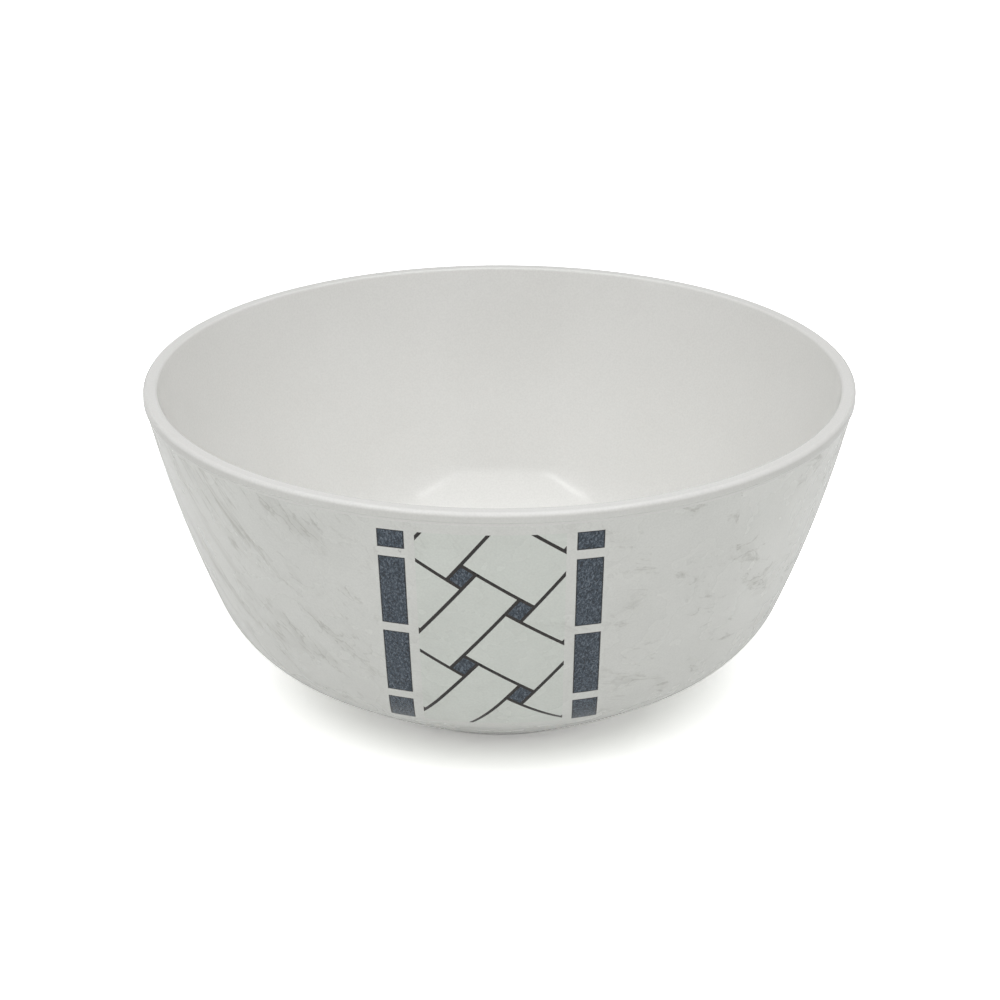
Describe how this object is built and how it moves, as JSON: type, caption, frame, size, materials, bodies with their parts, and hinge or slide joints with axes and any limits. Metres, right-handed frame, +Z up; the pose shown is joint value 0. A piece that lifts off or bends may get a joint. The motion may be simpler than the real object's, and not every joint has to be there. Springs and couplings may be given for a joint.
{
  "type": "serving bowl",
  "caption": "Round moulded serving bowl with a plain lip, a flush marble-print outside, a woven-strap panel between block borders, and a low foot ring.",
  "frame": {"origin": "on the table, under the middle of the foot ring", "axes": "+Z up through the middle of the bowl; -Y towards the middle of the front panel"},
  "size_m": [0.18, 0.18, 0.0855],
  "materials": {
    "white_melamine": "smooth, glossy, off-white moulded melamine",
    "marble_print": "pale grey marble print under a clear glaze",
    "navy_ink": "mottled navy print under a clear glaze",
    "dark_ink": "dark brown-black print under a clear glaze"
  },
  "bodies": {
    "root": {"bowl_body": "white_melamine", "marble_foil_front": "marble_print", "marble_foil_back": "marble_print", "border_blocks_front": "navy_ink", "border_blocks_back": "navy_ink", "weave_lines_front": "dark_ink", "weave_lines_back": "dark_ink", "weave_gaps_front": "navy_ink", "weave_gaps_back": "navy_ink"}
  },
  "joints": []
}
